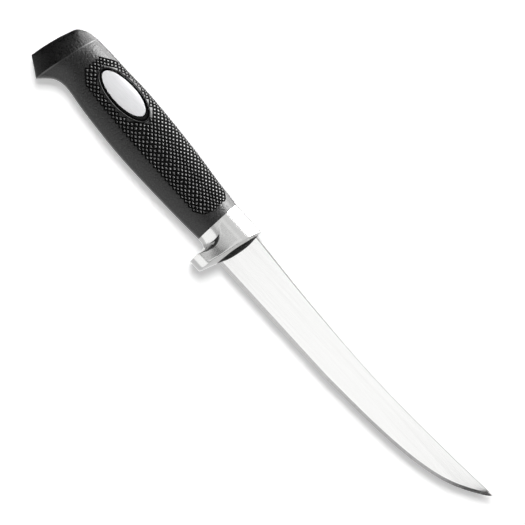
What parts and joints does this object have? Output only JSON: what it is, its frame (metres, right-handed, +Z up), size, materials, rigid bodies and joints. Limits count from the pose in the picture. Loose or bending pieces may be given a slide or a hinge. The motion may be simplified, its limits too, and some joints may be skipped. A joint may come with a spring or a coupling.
{
  "type": "carving knife",
  "caption": "Carving knife: slim upswept steel blade, polished metal guard with a finger quillon, and a black rubber handle with a studded grip and a hooked butt.",
  "frame": {"origin": "middle of the base of the whole knife's box, on the surface that the knife lies on", "axes": "+X along the blade towards the tip, +Y from the cutting edge towards the spine, +Z up, out of the side that carries the badge"},
  "size_m": [0.3228, 0.0424, 0.0208],
  "materials": {
    "blade_steel": "finely polished ground faces",
    "guard_metal": "polished, satin on the flat sides",
    "seal_compound": "cast resin, satin black",
    "core_plastic": "moulded",
    "grip_rubber": "satin black rubber",
    "badge_metal": "satin silver plate"
  },
  "bodies": {
    "root": {"blade": "blade_steel", "guard": "guard_metal", "seal": "seal_compound", "handle_core": "core_plastic", "grip": "grip_rubber", "badge_plate": "badge_metal"}
  },
  "joints": []
}
